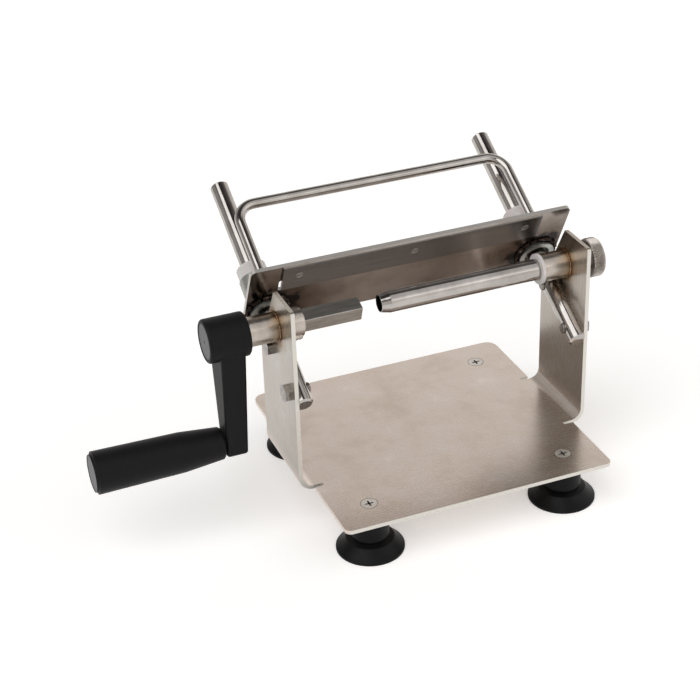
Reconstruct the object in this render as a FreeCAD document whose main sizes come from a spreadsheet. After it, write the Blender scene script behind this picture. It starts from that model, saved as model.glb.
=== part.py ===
import FreeCAD, Part
import Sketcher
import math
import os
import re
from FreeCAD import Placement, Rotation, Vector

# Hand-crank potato slicer: a bent steel stand on four suction feet, two slanted
# guide rods with a sliding blade carriage, a crank with a square drive on the left
# and a revolving tail tube on the right. Millimetres, +X right along the crank
# axis, +Y back, +Z up. The origin is under the middle of the whole object, on the floor.

doc = FreeCAD.newDocument("potato_slicer")
sheet = doc.addObject("Spreadsheet::Sheet", "Sizes")

# Driving sizes, one group for each part of the object. A drop is measured down from
# the top of the uprights, and a station along the guide rods from the point where
# they cross the middle plane.
driving_sizes = {
    # base plate and uprights, bent from one sheet
    "base_width": 210,
    "base_depth": 200,
    "sheet_thickness": 3,
    "bend_radius": 8,
    "front_corner_radius": 5,
    "back_corner_radius": 9,
    "relief_width": 3,
    "relief_depth": 7,
    "upright_front": 36.1,
    "upright_back": 32.6,
    "upright_height": 143.4,
    "upright_corner_radius": 2,
    # suction feet and their screws
    "foot_height": 34,
    "foot_inset_x": 27.5,
    "foot_inset_y": 26,
    "foot_neck_diameter": 28,
    "foot_crease_diameter": 25.6,
    "foot_crease_height": 11,
    "foot_skirt_diameter": 35.2,
    "foot_rim_diameter": 50,
    "foot_rim_width": 3,
    "foot_rim_height": 1.6,
    "foot_hollow_depth": 3.4,
    "foot_skirt_curve": 30,
    "foot_hollow_flat": 20,
    "insert_diameter": 12,
    "insert_length": 14,
    "foot_screw_diameter": 6,
    "foot_screw_head": 12,
    "foot_screw_length": 15,
    "cross_slot_length": 6.4,
    "cross_slot_width": 1.3,
    "cross_slot_depth": 1.6,
    # guide rods and the bolts that hold them
    "rod_diameter": 14,
    "rod_angle": 30,
    "rod_drop": 54.7,
    "rod_lower": 41,
    "rod_upper": 157,
    "rod_chamfer": 1.4,
    "slope_station": 26.3,
    "flat_margin": 0.6,
    "bolt_station_upper": 12,
    "bolt_station_lower": 27.7,
    "bolt_diameter": 8,
    "bolt_head_across": 12,
    "bolt_head_height": 4.6,
    "bolt_length": 15.4,
    "bolt_tip_chamfer": 0.8,
    "bolt_hole_clearance": 0.3,
    # crank axis and the tubes that carry the shafts
    "axis_forward": 2.5,
    "axis_drop": 26.4,
    "tube_diameter": 21.3,
    "tube_wall": 1.65,
    "left_tube_outside": 22,
    "left_tube_inside": 15.4,
    "right_tube_inside": 20.6,
    "right_tube_outside": 12,
    "weld_leg": 1.3,
    "tack_diameter": 6,
    "tack_depth": 2.6,
    "tack_margin": 1,
    "tack_angle": 50,
    "running_clearance": 0.05,
    "bush_inset": 0.6,
    "end_play": 0.3,
    # crank shaft with its square drive
    "shaft_bush_wall": 0.95,
    "shoulder_step": 0.5,
    "shoulder_length": 1.2,
    "square_across": 12,
    "square_corner_diameter": 16.4,
    "square_length": 43.9,
    "square_turn": 19,
    "shaft_in_hub": 20,
    # crank arm and hub
    "hub_wall": 8,
    "hub_length": 30.7,
    "hub_edge_radius": 2,
    "arm_inset": 7.3,
    "arm_top_thickness": 18.7,
    "arm_bottom_thickness": 16.2,
    "arm_top_width": 31,
    "arm_bottom_width": 15.4,
    "arm_edge_radius": 2.5,
    "crank_radius": 85,
    "arm_below_grip": 9.7,
    "cap_rim": 3,
    "cap_thickness": 2.4,
    "cap_inset": 0.4,
    "hub_bolt_diameter": 6,
    "hub_bolt_head": 12,
    "hub_bolt_head_height": 3.6,
    "hub_bolt_web": 4,
    "hub_bolt_reach": 12,
    # revolving grip
    "grip_length": 96,
    "grip_end_diameter": 31.4,
    "grip_break_diameter": 29.4,
    "grip_taper_length": 30,
    "grip_neck_diameter": 24,
    "grip_edge_radius": 2,
    "spindle_diameter": 10,
    "spindle_thread": 8,
    "spindle_in_arm": 13,
    "spindle_head_diameter": 16,
    "spindle_head_height": 3,
    "grip_rim": 2.1,
    "grip_cap_thickness": 3,
    "grip_pocket_depth": 9,
    # blade carriage
    "carriage_station": 41.8,
    "plate_lean": 27.2,
    "plate_thickness": 3,
    "plate_overhang": 10.2,
    "plate_above": 48.8,
    "plate_below": 16.4,
    "plate_corner_radius": 4,
    "slot_inset": 9.5,
    "slot_bottom": 21.5,
    "slot_top": 33,
    "slot_corner_radius": 2,
    "blade_end_gap": 1.5,
    "blade_edge": 24,
    "blade_back": 47.7,
    "blade_thickness": 2,
    "blade_bevel": 4.5,
    "blade_edge_thickness": 0.3,
    "blade_screw_height": 38.1,
    "blade_screw_inset": 12.5,
    "blade_screw_diameter": 3,
    "blade_screw_head": 6,
    "blade_sink": 1.5,
    "blade_slot_width": 0.8,
    "slide_bush_wall": 2.95,
    "sleeve_wall": 2.1,
    "sleeve_length": 27.5,
    "sleeve_flange_width": 1.9,
    "sleeve_flange_reach": 2.9,
    "sleeve_flange_gap": 0.8,
    "sleeve_hole_clearance": 0.35,
    "sleeve_weld_gap": 0.15,
    "sleeve_weld_width": 3.3,
    "sleeve_weld_height": 1.8,
    "slide_bush_collar_wall": 4.2,
    "slide_bush_collar_length": 10,
    "slide_bush_inset": 5,
    # bail handle
    "bail_diameter": 8,
    "bail_offset": 21,
    "bail_shift": 1.4,
    "bail_station": 121,
    "bail_bend_radius": 15,
    "bail_weld_leg": 2,
    # tail tube, its bush and knob
    "tail_bush_wall": 0.9,
    "tail_wall": 2,
    "tail_reach": 55.4,
    "tail_mouth_rim": 0.5,
    "tail_taper_length": 7,
    "tail_bush_flange_width": 0.85,
    "tail_bush_flange_thickness": 2.4,
    "knob_diameter": 29.8,
    "knob_gap": 3,
    "knob_length": 9.4,
    "knob_chamfer": 1,
    "knob_seat_depth": 6,
    "knob_screw_diameter": 5,
    "knob_screw_length": 6,
    "knurl_count": 40,
    "knurl_depth": 0.45,
}

# Sizes that follow from the driving ones.
derived_sizes = {
    "shift_x": "(grip_outer - knob_inner - knob_length) / 2",
    "shift_y": "(base_depth / 2 - rod_top_y) / 2",
    "rod_top_y": "rod_upper * cos(rod_angle)"
                 " + (rod_diameter / 2 - rod_chamfer) * sin(rod_angle)",
    "plate_top": "foot_height + sheet_thickness",
    "upright_inner": "base_width / 2 + bend_radius",
    "upright_outer": "upright_inner + sheet_thickness",
    "upright_top": "plate_top + upright_height",
    "foot_reach_x": "base_width / 2 - foot_inset_x",
    "foot_reach_y": "base_depth / 2 - foot_inset_y",
    "rod_height": "upright_top - rod_drop",
    "axis_height": "upright_top - axis_drop",
    "bend_outer_radius": "bend_radius + sheet_thickness",
    "slope_reach": "slope_station / cos(rod_angle)",
    "slope_top_y": "slope_reach - (upright_top - rod_height) * tan(rod_angle)",
    "slope_back_z": "rod_height + (slope_reach - upright_back) / tan(rod_angle)",
    "rod_x": "upright_outer - rod_diameter / 2",
    "rod_tilt": "rod_angle - 90",
    "tube_bore": "tube_diameter - 2 * tube_wall",
    "shaft_diameter": "tube_bore - 2 * (shaft_bush_wall + running_clearance)",
    "shoulder_diameter": "shaft_diameter + 2 * shoulder_step",
    "hub_diameter": "shaft_diameter + 2 * hub_wall",
    "cap_diameter": "hub_diameter - 2 * cap_rim",
    "left_tube_outer": "upright_outer + left_tube_outside",
    "left_tube_inner": "upright_inner - left_tube_inside",
    "right_tube_inner": "upright_inner - right_tube_inside",
    "right_tube_outer": "upright_outer + right_tube_outside",
    "shoulder_end": "left_tube_inner - shoulder_length",
    "square_end": "shoulder_end - square_length",
    "hub_inner": "left_tube_outer + end_play",
    "hub_outer": "hub_inner + hub_length",
    "arm_outer": "hub_outer - arm_inset",
    "arm_inner_top": "arm_outer - arm_top_thickness",
    "arm_inner_bottom": "arm_inner_top + (arm_top_thickness - arm_bottom_thickness) / 2",
    "arm_outer_bottom": "arm_inner_bottom + arm_bottom_thickness",
    "grip_inner": "arm_outer + end_play",
    "grip_break": "grip_inner + grip_taper_length",
    "grip_outer": "grip_inner + grip_length",
    "grip_cap_diameter": "grip_end_diameter - 2 * grip_rim",
    "plate_y": "carriage_station * cos(rod_angle)",
    "plate_z": "rod_height + carriage_station * sin(rod_angle)",
    "plate_half_width": "upright_outer + plate_overhang",
    "slot_half_width": "upright_inner - slot_inset",
    "blade_half_width": "slot_half_width - blade_end_gap",
    "blade_screw_reach": "blade_half_width - blade_screw_inset",
    "sleeve_bore": "rod_diameter + 2 * (slide_bush_wall + running_clearance)",
    "sleeve_diameter": "sleeve_bore + 2 * sleeve_wall",
    "sleeve_flange_diameter": "sleeve_diameter + 2 * sleeve_flange_width",
    "slide_bush_collar": "rod_diameter + 2 * slide_bush_collar_wall",
    "plate_relief": "rod_angle - plate_lean",
    "bail_start": "carriage_station + plate_thickness / cos(plate_relief)"
                  " + (bail_offset + bail_diameter / 2 + bail_weld_leg)"
                  " * tan(plate_relief)",
    "tail_diameter": "tube_bore - 2 * (tail_bush_wall + 2 * running_clearance)",
    "tail_bore": "tail_diameter - 2 * tail_wall",
    "tail_mouth_diameter": "tail_bore + 2 * tail_mouth_rim",
    "tail_bush_flange_diameter": "tube_diameter + 2 * tail_bush_flange_width",
    "tail_mouth": "right_tube_inner - tail_reach",
    "knob_inner": "right_tube_outer + knob_gap",
}


def add_rows(sizes, first_row, mark):
    """Write sizes to the sheet, one row each: name, value under the name as alias."""
    for row, (name, value) in enumerate(sizes.items(), first_row):
        sheet.set(f"A{row}", name)
        sheet.set(f"B{row}", f"{mark}{value}")
        sheet.setAlias(f"B{row}", name)


add_rows(driving_sizes, 1, "")
add_rows(derived_sizes, len(driving_sizes) + 1, "=")
doc.recompute()
size_names = set(driving_sizes) | set(derived_sizes)


def bound(text):
    """An expression on the sheet's aliases, as other objects have to write it."""
    def cell(word):
        return f"Sizes.{word[0]}" if word[0] in size_names else word[0]
    return re.sub(r"[a-z_]+", cell, text)


def number(text):
    """The value that an expression has now."""
    return float(sheet.evalExpression(text))


# Pieces and features

def new_body(name):
    """An empty body for one solid piece."""
    body = doc.addObject("PartDesign::Body", name)
    body.Label = name
    return body


def place(piece, x, y, z, axis=None, angle=None):
    """Put a piece at a point given from the middle of the base, on the floor."""
    if axis:
        piece.Placement = Placement(Vector(), Rotation(Vector(*axis), 1))
        piece.setExpression("Placement.Rotation.Angle", bound(f"({angle}) * 1deg"))
    piece.setExpression("Placement.Base.x", bound(f"shift_x + ({x})"))
    piece.setExpression("Placement.Base.y", bound(f"shift_y + ({y})"))
    piece.setExpression("Placement.Base.z", bound(z))


def place_on_axis(piece):
    """Turn a piece's own Z along the crank axis, measured from the middle plane."""
    place(piece, "0", "-axis_forward", "axis_height", (0, 1, 0), "90")


def place_on_rod(piece, side):
    """Turn a piece's own Z along a guide rod; its -Y then points up from the rod."""
    place(piece, f"{side} * rod_x", "0", "rod_height", (1, 0, 0), "rod_tilt")


def place_on_plate(piece):
    """Lay a piece's own XZ plane on the front face of the carriage plate."""
    place(piece, "0", "plate_y", "plate_z", (1, 0, 0), "plate_lean")


def origin_plane(body, role):
    """One of a body's own origin planes."""
    return next(item for item in body.Origin.OriginFeatures if item.Role == role)


def arc_between(start, end, radius, turn):
    """The shorter arc from start to end that turns left (1) or right (-1)."""
    chord = end - start
    rise = math.sqrt(max(radius ** 2 - (chord.Length / 2) ** 2, 0))
    aside = Vector(-chord.y, chord.x, 0).normalize() * rise * turn
    centre = (start + end) / 2 + aside
    first, last = (start, end) if turn > 0 else (end, start)
    from_angle = math.atan2(first.y - centre.y, first.x - centre.x)
    to_angle = math.atan2(last.y - centre.y, last.x - centre.x)
    circle = Part.Circle(centre, Vector(0, 0, 1), radius)
    return Part.ArcOfCircle(circle, from_angle, to_angle)


def constrain(sketch, kind, *where, text):
    """Add a sized constraint to a sketch and tie it to the sheet."""
    index = sketch.addConstraint(Sketcher.Constraint(kind, *where, number(text)))
    sketch.setExpression(f"Constraints[{index}]", bound(text))


def add_outline(sketch, outline, closed=True):
    """Draw an outline whose points, and the radii of its arcs, follow the sheet.

    Each entry is (x, y), or (x, y, radius, turn) where an arc arrives at the point.
    """
    points = [Vector(number(entry[0]), number(entry[1]), 0) for entry in outline]
    links = list(range(len(outline))) if closed else list(range(1, len(outline)))
    ends = []
    for link in links:
        start, end, entry = points[link - 1], points[link], outline[link]
        if len(entry) == 2:
            edge = sketch.addGeometry(Part.LineSegment(start, end), False)
            ends.append((edge, 1, 2))
            continue
        radius, turn = entry[2], entry[3]
        arc = arc_between(start, end, number(radius), turn)
        edge = sketch.addGeometry(arc, False)
        constrain(sketch, "Radius", edge, text=radius)
        ends.append((edge, 1, 2) if turn > 0 else (edge, 2, 1))
    for (edge, _, last), (after, first, _) in zip(ends, ends[1:]):
        sketch.addConstraint(Sketcher.Constraint("Coincident", edge, last, after, first))
    if closed:
        edge, after = ends[-1], ends[0]
        sketch.addConstraint(
            Sketcher.Constraint("Coincident", edge[0], edge[2], after[0], after[1]))
    corners = [(edge, last) for edge, _, last in ends]
    if not closed:
        corners.insert(0, (ends[0][0], ends[0][1]))
    for (edge, end), entry in zip(corners, outline):
        for kind, axis, text in (("DistanceX", -2, entry[0]), ("DistanceY", -1, entry[1])):
            if text == "0":
                sketch.addConstraint(Sketcher.Constraint("PointOnObject", edge, end, axis))
            else:
                constrain(sketch, kind, -1, 1, edge, end, text=text)


def new_sketch(body, role, offset="0", name="outline"):
    """A sketch on one of the body's planes, moved along the plane's normal."""
    sketch = body.newObject("Sketcher::SketchObject", name)
    sketch.AttachmentSupport = [(origin_plane(body, role), "")]
    sketch.MapMode = "FlatFace"
    sketch.setExpression("AttachmentOffset.Base.z", bound(offset))
    return sketch


def turned(name, outline):
    """A body turned about its own Z from an outline of (radius, height) points."""
    body = new_body(name)
    sketch = new_sketch(body, "XZ_Plane")
    add_outline(sketch, outline)
    revolution = body.newObject("PartDesign::Revolution", "turning")
    revolution.Profile = sketch
    revolution.ReferenceAxis = (sketch, ["V_Axis"])
    revolution.Angle = 360
    return body


def padded(body, role, outline, length, offset="0", reverse=False):
    """Pad an outline on one of the body's planes."""
    sketch = new_sketch(body, role, offset)
    add_outline(sketch, outline)
    pad = body.newObject("PartDesign::Pad", "pad")
    pad.Profile = sketch
    pad.Reversed = reverse
    pad.setExpression("Length", bound(length))
    return pad


def pocketed(body, role, outline, length, offset="0", reverse=False):
    """Cut an outline into the body from one of its planes."""
    sketch = new_sketch(body, role, offset)
    add_outline(sketch, outline)
    pocket = body.newObject("PartDesign::Pocket", "pocket")
    pocket.Profile = sketch
    pocket.Reversed = reverse
    pocket.setExpression("Length", bound(length))
    return pocket


def feature(body, kind, x, y, z, axis=None, angle="0", **sizes):
    """Add or cut a PartDesign primitive at a point of the body."""
    item = body.newObject(f"PartDesign::{kind}", kind)
    if axis:
        item.Placement = Placement(Vector(), Rotation(Vector(*axis), 1))
        item.setExpression("Placement.Rotation.Angle", bound(f"({angle}) * 1deg"))
    for letter, text in zip("xyz", (x, y, z)):
        item.setExpression(f"Placement.Base.{letter}", bound(text))
    for size, text in sizes.items():
        item.setExpression(size, bound(text))
    return item


def rounded_box(left, right, low, high, radius):
    """The outline of a rectangle with rounded corners."""
    return [
        (f"{right} - {radius}", low),
        (right, f"{low} + {radius}", radius, 1),
        (right, f"{high} - {radius}"),
        (f"{right} - {radius}", high, radius, 1),
        (f"{left} + {radius}", high),
        (left, f"{high} - {radius}", radius, 1),
        (left, f"{low} + {radius}"),
        (f"{left} + {radius}", low, radius, 1),
    ]


def rounded_edges(body, radius, wanted):
    """Round the edges of the body whose middle point passes a test."""
    doc.recompute()
    base = body.Tip
    edges = [f"Edge{count}" for count, edge in enumerate(base.Shape.Edges, 1)
             if wanted(edge)]
    fillet = body.newObject("PartDesign::Fillet", "fillet")
    fillet.Base = (base, edges)
    fillet.setExpression("Radius", bound(radius))
    return fillet


def group(name, bodies):
    """One node of like pieces, each a separate solid."""
    compound = doc.addObject("Part::Compound", name)
    compound.Label = name
    compound.Links = bodies
    return compound


nodes = []
sides = (("left", -1), ("right", 1))
ends = (("front", -1), ("back", 1))


# Stand: one sheet, bent up into two uprights

def base_frame():
    """Base plate and uprights in one 3 mm sheet, with bend reliefs and all holes."""
    body = new_body("base_frame")
    plate = [
        ("base_width / 2 - front_corner_radius", "-base_depth / 2"),
        ("base_width / 2", "front_corner_radius - base_depth / 2", "front_corner_radius", 1),
        ("base_width / 2", "base_depth / 2 - back_corner_radius"),
        ("base_width / 2 - back_corner_radius", "base_depth / 2", "back_corner_radius", 1),
        ("back_corner_radius - base_width / 2", "base_depth / 2"),
        ("-base_width / 2", "base_depth / 2 - back_corner_radius", "back_corner_radius", 1),
        ("-base_width / 2", "front_corner_radius - base_depth / 2"),
        ("front_corner_radius - base_width / 2", "-base_depth / 2",
         "front_corner_radius", 1),
    ]
    padded(body, "XY_Plane", plate, "sheet_thickness", offset="foot_height")
    bend_start = "base_width / 2"
    inner_bend_top = "plate_top + bend_radius"
    outer_bend_top = "foot_height + bend_outer_radius"
    uprights = [
        ("-upright_outer", "upright_top"),
        ("-upright_outer", outer_bend_top),
        (f"-{bend_start}", "foot_height", "bend_outer_radius", 1),
        (bend_start, "foot_height"),
        ("upright_outer", outer_bend_top, "bend_outer_radius", 1),
        ("upright_outer", "upright_top"),
        ("upright_inner", "upright_top"),
        ("upright_inner", inner_bend_top),
        (bend_start, "plate_top", "bend_radius", -1),
        (f"-{bend_start}", "plate_top"),
        ("-upright_inner", inner_bend_top, "bend_radius", -1),
        ("-upright_inner", "upright_top"),
    ]
    padded(body, "XZ_Plane", uprights, "upright_front + upright_back",
           offset="upright_front", reverse=True)
    # the back edge slopes square to the rods and stops the carriage
    slope = [
        ("slope_top_y", "upright_top"),
        ("upright_back", "slope_back_z"),
        ("upright_back + sheet_thickness", "slope_back_z"),
        ("upright_back + sheet_thickness", "upright_top + sheet_thickness"),
        ("slope_top_y", "upright_top + sheet_thickness"),
    ]
    pocketed(body, "YZ_Plane", slope, "2 * upright_outer + 2",
             offset="-upright_outer - 1", reverse=True)
    rounded_edges(body, "upright_corner_radius", upright_corner)
    for _, way in ends:
        edge = "upright_back" if way > 0 else "-upright_front - relief_width"
        for _, side in sides:
            start = "base_width / 2 - relief_depth" if side > 0 else "-base_width / 2"
            feature(body, "SubtractiveBox", start, edge, "foot_height",
                    Length="relief_depth", Width="relief_width", Height="sheet_thickness")
    across = {"axis": (0, 1, 0), "angle": "90"}
    feature(body, "SubtractiveCylinder", "-upright_outer - 1", "-axis_forward",
            "axis_height", **across, Radius="tube_diameter / 2",
            Height="2 * upright_outer + 2")
    for station in ("bolt_station_upper", "-bolt_station_lower"):
        feature(body, "SubtractiveCylinder", "-upright_outer - 1",
                f"{station} * cos(rod_angle)", f"rod_height + {station} * sin(rod_angle)",
                **across, Radius="bolt_diameter / 2 + bolt_hole_clearance",
                Height="2 * upright_outer + 2")
    for _, side in sides:
        for _, way in ends:
            feature(body, "SubtractiveCone", f"{side} * foot_reach_x",
                    f"{way} * foot_reach_y", "foot_height",
                    Radius1="foot_screw_diameter / 2", Radius2="foot_screw_head / 2",
                    Height="sheet_thickness")
    place(body, "0", "0", "0")
    return body


def upright_corner(edge):
    """True for the edges along X at the top front corners of the uprights."""
    middle = edge.CenterOfMass
    along_x = abs(edge.BoundBox.XLength - number("sheet_thickness")) < 0.01
    at_front = abs(middle.y + number("upright_front")) < 0.01
    return along_x and at_front and abs(middle.z - number("upright_top")) < 0.01


nodes.append(base_frame())


# Suction feet: rubber cups with a threaded insert and a countersunk screw each

def suction_foot(name, side, way):
    """Rubber cup: a neck, a crease and a flared skirt with a shallow hollow."""
    rim = "foot_rim_diameter / 2"
    hollow = f"{rim} - foot_rim_width"
    crease_top = "foot_crease_height + (foot_neck_diameter - foot_crease_diameter) / 2"
    foot = turned(name, [
        ("0", "foot_hollow_depth"),
        ("foot_hollow_flat / 2", "foot_hollow_depth"),
        (hollow, "0"),
        (rim, "0"),
        (rim, "foot_rim_height"),
        ("foot_skirt_diameter / 2", "foot_crease_height - foot_rim_height",
         "foot_skirt_curve", -1),
        ("foot_crease_diameter / 2", "foot_crease_height"),
        ("foot_neck_diameter / 2", crease_top),
        ("foot_neck_diameter / 2", "foot_height"),
        ("insert_diameter / 2", "foot_height"),
        ("insert_diameter / 2", "foot_height - insert_length"),
        ("0", "foot_height - insert_length"),
    ])
    place(foot, f"{side} * foot_reach_x", f"{way} * foot_reach_y", "0")
    return foot


def foot_insert(name, side, way):
    """Steel threaded insert moulded in the neck of a foot."""
    low = "foot_height - insert_length"
    insert = turned(name, [
        ("foot_screw_diameter / 2", low),
        ("insert_diameter / 2", low),
        ("insert_diameter / 2", "foot_height"),
        ("foot_screw_diameter / 2", "foot_height"),
    ])
    place(insert, f"{side} * foot_reach_x", f"{way} * foot_reach_y", "0")
    return insert


def cross_slots(screw, top):
    """Cut a cross recess down into a screw head."""
    for length, width in (("cross_slot_length", "cross_slot_width"),
                          ("cross_slot_width", "cross_slot_length")):
        feature(screw, "SubtractiveBox", f"-{length} / 2", f"-{width} / 2",
                f"{top} - cross_slot_depth",
                Length=length, Width=width, Height="cross_slot_depth")


def foot_screw(name, side, way):
    """Countersunk screw, flush with the top of the base plate."""
    screw = turned(name, [
        ("0", "plate_top - foot_screw_length"),
        ("foot_screw_diameter / 2", "plate_top - foot_screw_length"),
        ("foot_screw_diameter / 2", "foot_height"),
        ("foot_screw_head / 2", "plate_top"),
        ("0", "plate_top"),
    ])
    cross_slots(screw, "plate_top")
    place(screw, f"{side} * foot_reach_x", f"{way} * foot_reach_y", "0")
    return screw


inserts = []
foot_screws = []
for end_name, way in ends:
    for side_name, side in sides:
        corner = f"{end_name}_{side_name}"
        nodes.append(suction_foot(f"suction_foot_{corner}", side, way))
        inserts.append(foot_insert(f"insert_{corner}", side, way))
        foot_screws.append(foot_screw(f"foot_screw_{corner}", side, way))
nodes.append(group("foot_inserts", inserts))
nodes.append(group("foot_screws", foot_screws))


# Guide rods, bolted to the uprights' inner faces

def guide_rod(name, side):
    """Round rod with a flat where it lies on the upright, and two threaded holes."""
    rod = turned(name, [
        ("0", "-rod_lower"),
        ("rod_diameter / 2 - rod_chamfer", "-rod_lower"),
        ("rod_diameter / 2", "rod_chamfer - rod_lower"),
        ("rod_diameter / 2", "rod_upper - rod_chamfer"),
        ("rod_diameter / 2 - rod_chamfer", "rod_upper"),
        ("0", "rod_upper"),
    ])
    flat_depth = "rod_diameter / 2 - (upright_inner - rod_x)"
    flat_start = "upright_inner - rod_x" if side > 0 else "-rod_diameter / 2"
    feature(rod, "SubtractiveBox", flat_start, "-rod_diameter / 2", "-rod_lower",
            Length=flat_depth, Width="rod_diameter",
            Height="rod_lower + slope_station + flat_margin")
    for station in ("bolt_station_upper", "-bolt_station_lower"):
        feature(rod, "SubtractiveCylinder", "-rod_diameter / 2", "0", station,
                axis=(0, 1, 0), angle="90",
                Radius="bolt_diameter / 2", Height="rod_diameter")
    place_on_rod(rod, side)
    return rod


def rod_bolt(name, side, station):
    """Hex bolt through the upright into the rod, its tip showing on the inner side."""
    bolt = turned(name, [
        ("0", "-bolt_length"),
        ("bolt_diameter / 2 - bolt_tip_chamfer", "-bolt_length"),
        ("bolt_diameter / 2", "bolt_tip_chamfer - bolt_length"),
        ("bolt_diameter / 2", "0"),
        ("0", "0"),
    ])
    feature(bolt, "AdditivePrism", "0", "0", "0", Height="bolt_head_height",
            Circumradius="bolt_head_across / 2 / cos(30)")
    bolt.Tip.Polygon = 6
    place(bolt, f"{side} * upright_outer", f"{station} * cos(rod_angle)",
          f"rod_height + {station} * sin(rod_angle)", (0, 1, 0), f"{side} * 90")
    return bolt


rod_bolts = []
for side_name, side in sides:
    nodes.append(guide_rod(f"guide_rod_{side_name}", side))
    rod_bolts.append(rod_bolt(f"upper_bolt_{side_name}", side, "bolt_station_upper"))
    rod_bolts.append(rod_bolt(f"lower_bolt_{side_name}", side, "-bolt_station_lower"))
nodes.append(group("rod_bolts", rod_bolts))


# Bearing tubes welded through the uprights

def ring(name, inner, outer, low, high):
    """A plain ring or tube along the crank axis."""
    body = turned(name, [(inner, low), (outer, low), (outer, high), (inner, high)])
    place_on_axis(body)
    return body


def weld_bead(name, face, way):
    """Bead round a bearing tube where it meets a face of the upright."""
    bead = turned(name, [
        ("tube_diameter / 2", face),
        ("tube_diameter / 2 + weld_leg", face),
        ("tube_diameter / 2", f"{face} + {way} * weld_leg"),
    ])
    place_on_axis(bead)
    return bead


def tack_weld():
    """Short tack weld low on the front of the left tube, inside its upright."""
    tack = new_body("left_tack")
    reach = "(tube_diameter / 2 + tack_depth - tack_diameter / 2)"
    feature(tack, "AdditiveCylinder", f"{reach} * sin(tack_angle)",
            f"-{reach} * cos(tack_angle)", "-upright_inner",
            Radius="tack_diameter / 2", Height="left_tube_inside - tack_margin")
    feature(tack, "SubtractiveCylinder", "0", "0", "-upright_inner",
            Radius="tube_diameter / 2", Height="left_tube_inside")
    place_on_axis(tack)
    return tack


left_bush_low = "bush_inset - left_tube_outer"
left_bush_high = "-left_tube_inner - bush_inset"
nodes.append(ring("left_bearing_tube", "tube_bore / 2", "tube_diameter / 2",
                  "-left_tube_outer", "-left_tube_inner"))
nodes.append(ring("right_bearing_tube", "tube_bore / 2", "tube_diameter / 2",
                  "right_tube_inner", "right_tube_outer"))
nodes.append(group("tube_weld_beads", [
    weld_bead("left_outer_bead", "-upright_outer", -1),
    tack_weld(),
    weld_bead("right_inner_bead", "upright_inner", -1),
    weld_bead("right_outer_bead", "upright_outer", 1),
]))
nodes.append(ring("left_shaft_bush", "shaft_diameter / 2 + running_clearance",
                  "tube_bore / 2", left_bush_low, left_bush_high))


# Crank: shaft with a square drive, arm, hub bolt, cap and spindle

def crank_shaft():
    """Steel shaft: journal in the bush, shoulder, then the square that drives the food."""
    shaft = turned("crank_shaft", [
        ("0", "-hub_inner - shaft_in_hub"),
        ("shaft_diameter / 2", "-hub_inner - shaft_in_hub"),
        ("shaft_diameter / 2", "end_play - left_tube_inner"),
        ("shoulder_diameter / 2", "end_play - left_tube_inner"),
        ("shoulder_diameter / 2", "-shoulder_end"),
        ("square_corner_diameter / 2", "-shoulder_end"),
        ("square_corner_diameter / 2", "-square_end"),
        ("0", "-square_end"),
    ])
    far = "square_corner_diameter"
    for quarter in range(4):
        turn = f"square_turn + {90 * quarter}"
        low = "square_across / 2"
        feature(shaft, "SubtractiveBox",
                f"{low} * cos({turn}) + {far} / 2 * sin({turn})",
                f"{low} * sin({turn}) - {far} / 2 * cos({turn})", "-shoulder_end",
                axis=(0, 0, 1), angle=turn, Length=far, Width=far,
                Height="shoulder_end - square_end")
    feature(shaft, "SubtractiveCylinder", "0", "0", "-hub_inner - shaft_in_hub",
            Radius="hub_bolt_diameter / 2", Height="hub_bolt_reach")
    place_on_axis(shaft)
    return shaft


def arm_section(body, height, outer, inner, width, name):
    """Rectangular section of the arm at a height over the crank axis."""
    sketch = new_sketch(body, "XY_Plane", height, name)
    half = f"{width} / 2"
    add_outline(sketch, [(f"-{outer}", f"-{half}"), (f"-{inner}", f"-{half}"),
                         (f"-{inner}", half), (f"-{outer}", half)])
    return sketch


def crank_arm():
    """Moulded arm: tapered blade hanging from a round hub, bored for the shaft."""
    body = new_body("crank_arm")
    low = "-crank_radius - arm_below_grip"
    top = arm_section(body, "0", "arm_outer", "arm_inner_top", "arm_top_width", "top")
    bottom = arm_section(body, low, "arm_outer_bottom", "arm_inner_bottom",
                         "arm_bottom_width", "bottom")
    loft = body.newObject("PartDesign::AdditiveLoft", "taper")
    loft.Profile = top
    loft.Sections = [bottom]
    rounded_edges(body, "arm_edge_radius", below_hub)
    across = {"axis": (0, 1, 0), "angle": "90"}
    hub = feature(body, "AdditiveCylinder", "-hub_outer", "0", "0", **across,
                  Radius="hub_diameter / 2", Height="hub_outer - hub_inner")
    rounded_edges(body, "hub_edge_radius", hub_rim)
    feature(body, "SubtractiveCylinder", "-hub_inner - shaft_in_hub", "0", "0", **across,
            Radius="shaft_diameter / 2", Height="shaft_in_hub")
    feature(body, "SubtractiveCylinder", "-hub_outer", "0", "0", **across,
            Radius="hub_bolt_diameter / 2 + bolt_hole_clearance",
            Height="hub_outer - hub_inner - shaft_in_hub")
    feature(body, "SubtractiveCylinder", "-hub_outer", "0", "0", **across,
            Radius="cap_diameter / 2",
            Height="hub_outer - hub_inner - shaft_in_hub - hub_bolt_web")
    feature(body, "SubtractiveCylinder", "-arm_outer", "0", "-crank_radius", **across,
            Radius="spindle_thread / 2", Height="spindle_in_arm")
    place(body, "0", "-axis_forward", "axis_height")
    return body


def below_hub(edge):
    """True for the long edges of the arm and those round its lower end."""
    return edge.CenterOfMass.z < -number("hub_diameter")


def hub_rim(edge):
    """True for the round edges at the two ends of the hub."""
    at_end = min(abs(edge.CenterOfMass.x + number(face))
                 for face in ("hub_outer", "hub_inner"))
    return at_end < 0.01 and edge.Length > number("hub_diameter")


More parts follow.
